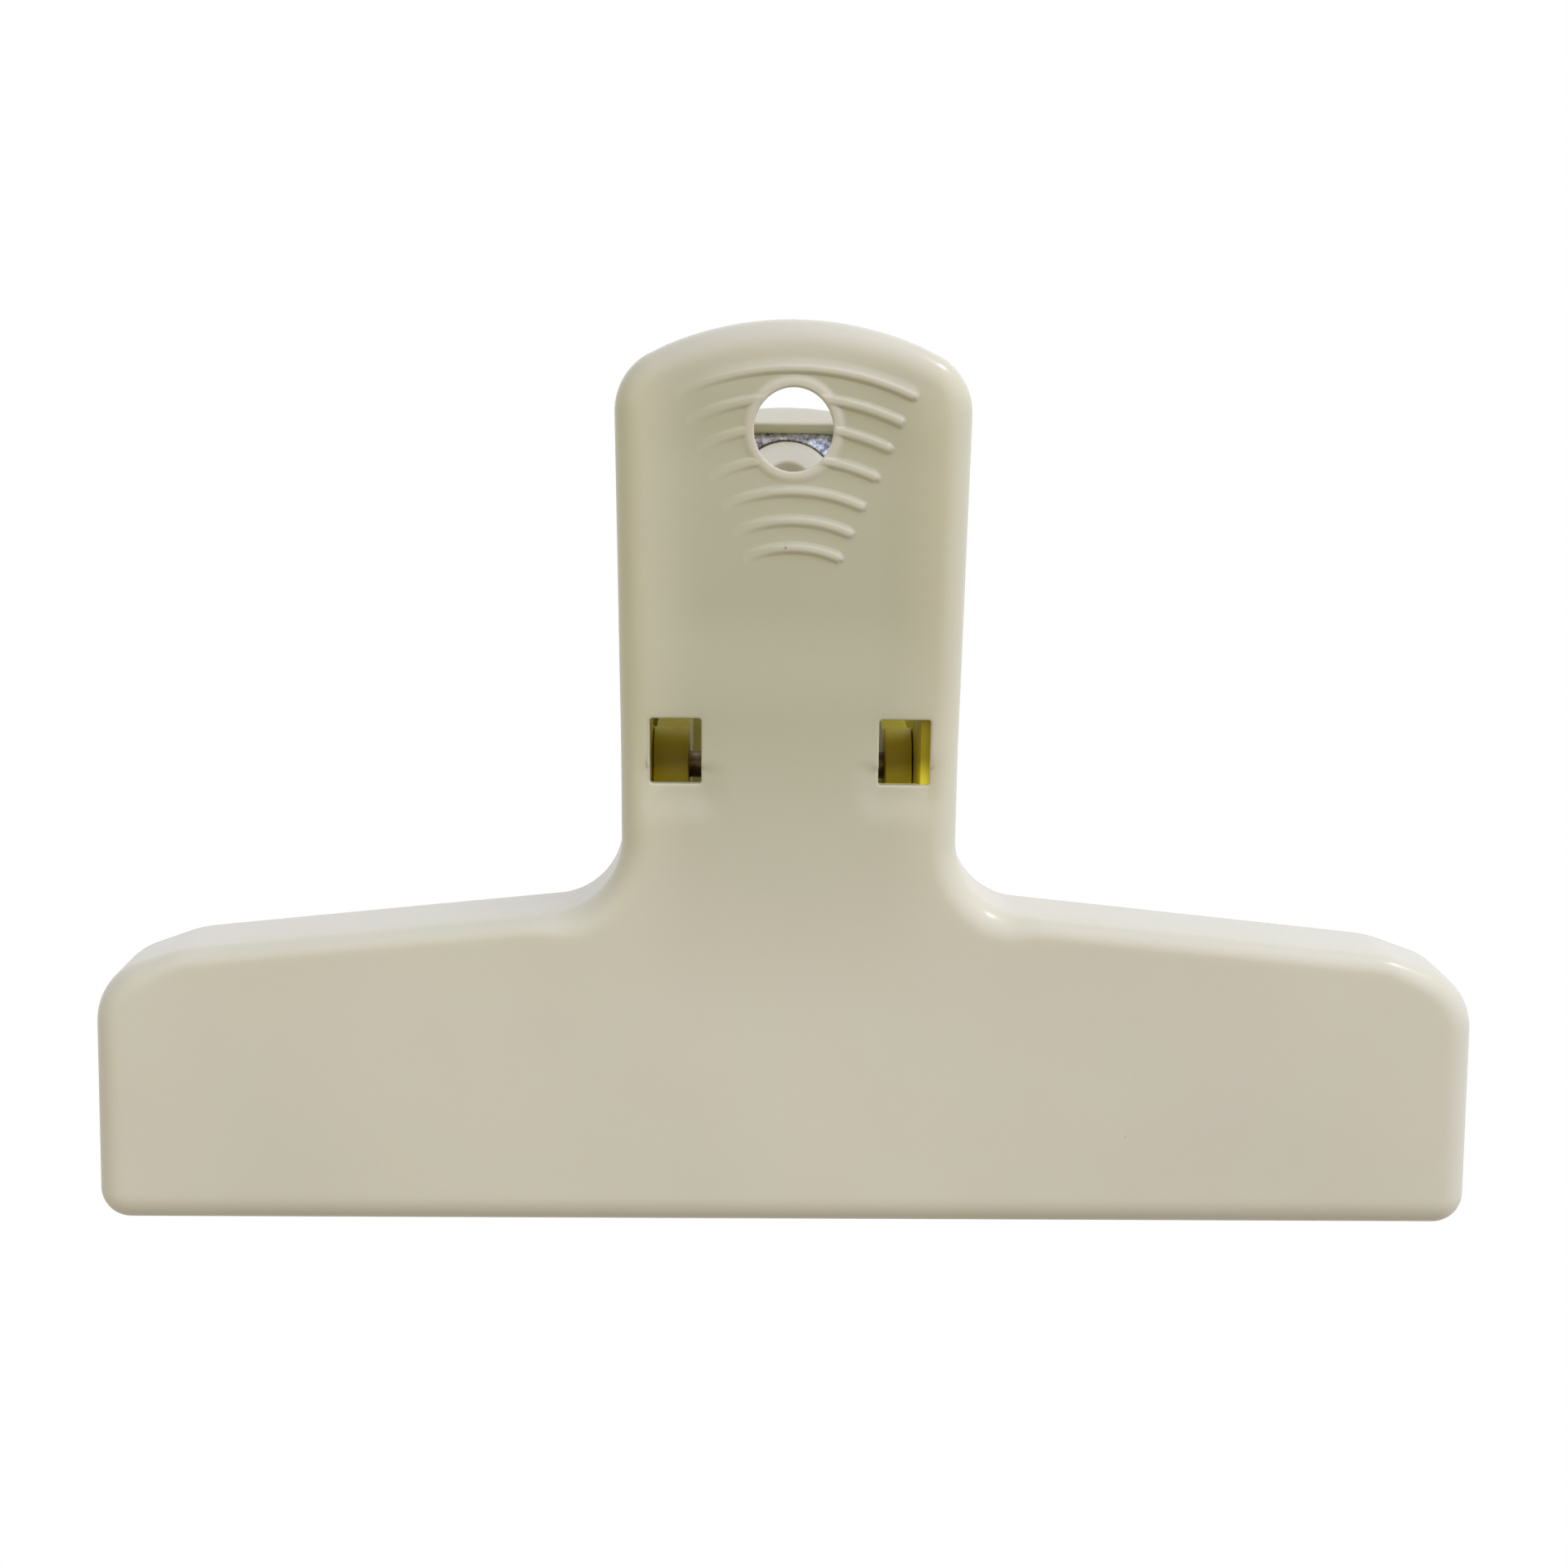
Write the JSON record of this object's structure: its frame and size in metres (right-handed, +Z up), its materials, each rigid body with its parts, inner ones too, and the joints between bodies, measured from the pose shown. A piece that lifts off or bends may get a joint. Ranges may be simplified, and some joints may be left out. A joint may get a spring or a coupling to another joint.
{
  "type": "magnetic clip",
  "caption": "Wide spring clip with two moulded trays on a hinge pin, a torsion spring, and a magnet with steel plate in the rear handle.",
  "frame": {"origin": "under the middle of the closed jaws, at the lowest point of the lips", "axes": "+X to the right along the jaw seen from the front, +Z up from the lips to the handles, the front half on the -Y side"},
  "size_m": [0.1524, 0.0548, 0.0967],
  "materials": {
    "front_plastic": "ivory semi-gloss moulded plastic",
    "rear_plastic": "ivory semi-gloss moulded plastic",
    "pin_steel": "plain steel rod",
    "spring_steel": "drawn spring wire",
    "ferrite": "dark grey pressed ferrite",
    "zinc_plate": "bright zinc plated sheet"
  },
  "bodies": {
    "rear_half": {"rear_shell": "rear_plastic", "magnet_block": "ferrite", "keeper_plate": "zinc_plate", "hinge_pin": "pin_steel", "torsion_spring": "spring_steel"},
    "front_half": {"front_shell": "front_plastic"}
  },
  "joints": [
    {"name": "jaw_hinge", "type": "hinge", "parent": "rear_half", "child": "front_half", "pos_m": [0, 0, 0.051], "axis": [-1, 0, 0], "range_deg": [0, 40], "stiffness_Nm_per_rad": 0.6, "springref_deg": -28.65, "deforming": ["torsion_spring"]}
  ]
}
